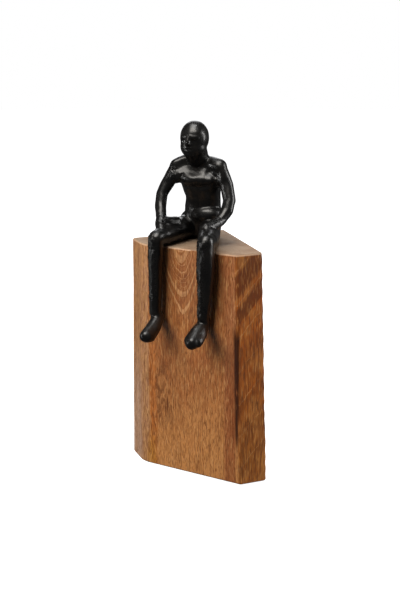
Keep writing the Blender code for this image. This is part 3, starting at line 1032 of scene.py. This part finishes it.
def shape_felt(node, settings):
    """A die-cut felt disc with a soft, slightly ragged edge."""
    centre, radius, thickness = round_part(node)
    centre, radius, thickness = TO_FRAME.inverted() @ centre, radius / MM, thickness / MM
    bm = bmesh.new()
    add_bar(bm, radius, thickness, FELT_SEGMENTS, centre)
    round_rims(bm, FELT_EDGE, 2)
    slices(bm, 0, FELT_STEP)
    slices(bm, 1, FELT_STEP)
    fuzz = settings.felt_fuzz / MM
    for vert in bm.verts:
        outward = Vector((*(vert.co.xy - centre.xy), 0.0)) / radius
        fray = wander(vert.co, 0.8, 2)
        vert.co -= outward * fuzz * (1.0 + fray) * outward.length
        inward = math.copysign(1.0, centre.z - vert.co.z)
        vert.co.z += inward * fuzz * 0.5 * (1.0 + wander(vert.co, 1.1, 2))
    return piece_from(bm, node.replace("felt_foot", "felt_disc"))


def black_felt(settings):
    """Pressed felt: matted fibres with a soft bloom."""
    f = Finish("black_felt")
    matted = f.noise((1.6, 1.6, 3.0), 5.0, 0.7, 1.5)
    strands = f.noise((7.0, 1.2, 7.0), 3.0, 0.6, 2.0, turn=(0, 0, 0.7))
    colour = f.mix(f.rise(matted, 0.35, 0.7), tuple(settings.felt), (0.05, 0.05, 0.052))
    colour = f.layer(colour, strands=(f.rise(strands, 0.58, 0.7), 0.5, (0.09, 0.09, 0.092)))
    f.set(Base_Color=colour, Roughness=0.95, Sheen_Weight=0.4)
    f.set(Normal=f.bump(f.add(matted, strands), 0.0003, 0.7))
    return f.material


class BOOKEND_OT_felt_feet(Operator):
    """Cut the four felt feet under the block"""
    bl_idname = "bookend.felt_feet"
    bl_label = "Felt Feet"

    def execute(self, context):
        settings = context.scene.bookend_fixings
        felt = black_felt(settings)
        for node in FELT_FEET:
            finish_piece(shape_felt(node, settings), felt, "black_felt", node)
        return {'FINISHED'}


# ---- the stage ----

CAMERA_PLACE = Vector((471.5, -698.4, 369.8))  # in shelf millimetres
CAMERA_AHEAD = Vector((-0.5496, 0.8357, 0.0))
CAMERA_DIP = math.radians(13.84)
WORLD_LIGHT = 0.07  # strength of the light from all round
FLOOR_RADIUS = 6000.0
FLOOR_MOTTLE = (0.88, 0.88, 0.88)


def aim(thing, direction):
    """Point a camera or a lamp this way."""
    thing.rotation_mode = "QUATERNION"
    thing.rotation_quaternion = direction.to_track_quat("-Z", "Y")


def make_camera(settings):
    """The camera stands to the right, above the seat, and looks a little down."""
    camera = new_object("camera", bpy.data.cameras.new("camera"))
    camera.data.lens = settings.lens
    camera.location = TO_FRAME @ CAMERA_PLACE
    ahead = CAMERA_AHEAD.normalized() * math.cos(CAMERA_DIP) - Vector((0, 0, math.sin(CAMERA_DIP)))
    aim(camera, ahead)
    bpy.context.scene.camera = camera


# Softboxes: bearing from straight ahead of the block towards its right, height above the horizon,
# distance, width, height, power, colour, and which surfaces it reaches: matt, shiny or both.
SOFTBOXES = {
    "key": (-16, 32, 1.15, 0.78, 0.66, 17.3, (1, 0.97, 0.93), "matt"),
    "left_strip": (-46, 4, 1.10, 0.14, 0.50, 3.2, (1, 0.99, 0.97), "shiny"),
    "top": (14, 61, 1.05, 0.70, 0.42, 9.4, (1, 0.95, 0.88), "shiny"),
    "overhead": (20, 86, 0.90, 0.45, 0.40, 4.2, (1, 0.99, 0.97), "both"),
    "right_fill": (112, 14, 1.30, 0.40, 0.80, 10.8, (1, 0.985, 0.97), "matt"),
    "right_strip": (124, 14, 1.30, 0.20, 0.95, 9, (1, 0.985, 0.97), "shiny"),
    "back": (215, 30, 1.30, 0.70, 0.80, 4, (0.97, 0.98, 1), "both"),
}


def make_lights():
    """Softboxes in a ring, all turned to the middle of the object."""
    target = (CAD_BOX[0] + CAD_BOX[1]) / 2
    for name, (bearing, height, distance, wide, tall, power, colour, reach) in SOFTBOXES.items():
        b, h = math.radians(bearing), math.radians(height)
        towards = Vector((math.sin(b) * math.cos(h), -math.cos(b) * math.cos(h), math.sin(h)))
        lamp = bpy.data.lights.new(name, 'AREA')
        lamp.shape = 'RECTANGLE'
        lamp.size, lamp.size_y = wide, tall
        lamp.energy = power
        lamp.color = colour
        box = new_object(name, lamp)
        box.location = target + towards * distance
        box.visible_glossy = reach != "matt"
        box.visible_diffuse = reach != "shiny"
        aim(box, -towards)


def make_world():
    """White behind the object, and a dimmer light from all round it."""
    world = bpy.data.worlds.new("studio")
    world.use_nodes = True
    nodes, links = world.node_tree.nodes, world.node_tree.links
    seen = nodes["Background"]
    seen.inputs["Color"].default_value = (1, 1, 1, 1)
    light = nodes.new("ShaderNodeBackground")
    light.inputs["Color"].default_value = (1, 0.99, 0.98, 1)
    light.inputs["Strength"].default_value = WORLD_LIGHT
    path = nodes.new("ShaderNodeLightPath")
    either = nodes.new("ShaderNodeMixShader")
    links.new(path.outputs["Is Camera Ray"], either.inputs[0])
    links.new(light.outputs[0], either.inputs[1])
    links.new(seen.outputs[0], either.inputs[2])
    links.new(either.outputs[0], nodes["World Output"].inputs["Surface"])
    bpy.context.scene.world = world


def make_floor(settings):
    """A broad pale disc, lit from within so that it stays near white."""
    bm = bmesh.new()
    bmesh.ops.create_circle(bm, cap_ends=True, segments=96, radius=FLOOR_RADIUS)
    floor = piece_from(bm, "floor")
    f = Finish("pale_floor")
    mottle = f.noise((0.004, 0.004, 0.004))
    f.set(Base_Color=f.mix(mottle, tuple(settings.floor), FLOOR_MOTTLE))
    f.set(Roughness=0.8, Emission_Color=(1, 1, 1), Emission_Strength=1.0)
    floor.data.materials.append(f.material)
    floor.visible_glossy = False
    floor.visible_diffuse = False


class BOOKEND_OT_stage(Operator):
    """Set the camera, the soft studio light and the floor"""
    bl_idname = "bookend.stage"
    bl_label = "Studio Stage"

    def execute(self, context):
        settings = context.scene.bookend_stage
        context.scene.view_settings.view_transform = 'Standard'
        make_camera(settings)
        make_world()
        make_lights()
        make_floor(settings)
        return {'FINISHED'}


class BOOKEND_PT_panel(Panel):
    """Every step of the bookend, with its sizes and colours"""
    bl_label = "Seated Figure Bookend"
    bl_idname = "BOOKEND_PT_panel"
    bl_space_type = 'VIEW_3D'
    bl_region_type = 'UI'
    bl_category = "Bookend"

    def draw(self, context):
        for group in SETTINGS:
            box = self.layout.box()
            for name in SETTINGS[group].__annotations__:
                box.prop(getattr(context.scene, group), name)
        for operator in OPERATORS:
            self.layout.operator(operator.bl_idname)


SETTINGS = {
    "bookend_block": BlockSettings,
    "bookend_figure": FigureSettings,
    "bookend_fixings": FixingSettings,
    "bookend_stage": StageSettings,
}
OPERATORS = (BOOKEND_OT_block, BOOKEND_OT_figure, BOOKEND_OT_studs, BOOKEND_OT_felt_feet, BOOKEND_OT_stage)
CLASSES = (*SETTINGS.values(), *OPERATORS, BOOKEND_PT_panel)


def register():
    for cls in CLASSES:
        bpy.utils.register_class(cls)
    for name, cls in SETTINGS.items():
        setattr(bpy.types.Scene, name, PointerProperty(type=cls))


def unregister():
    for name in SETTINGS:
        delattr(bpy.types.Scene, name)
    for cls in reversed(CLASSES):
        bpy.utils.unregister_class(cls)


def main():
    register()
    bpy.ops.bookend.block()
    bpy.ops.bookend.figure()
    bpy.ops.bookend.studs()
    bpy.ops.bookend.felt_feet()
    bpy.ops.bookend.stage()


if __name__ == "__main__":
    main()
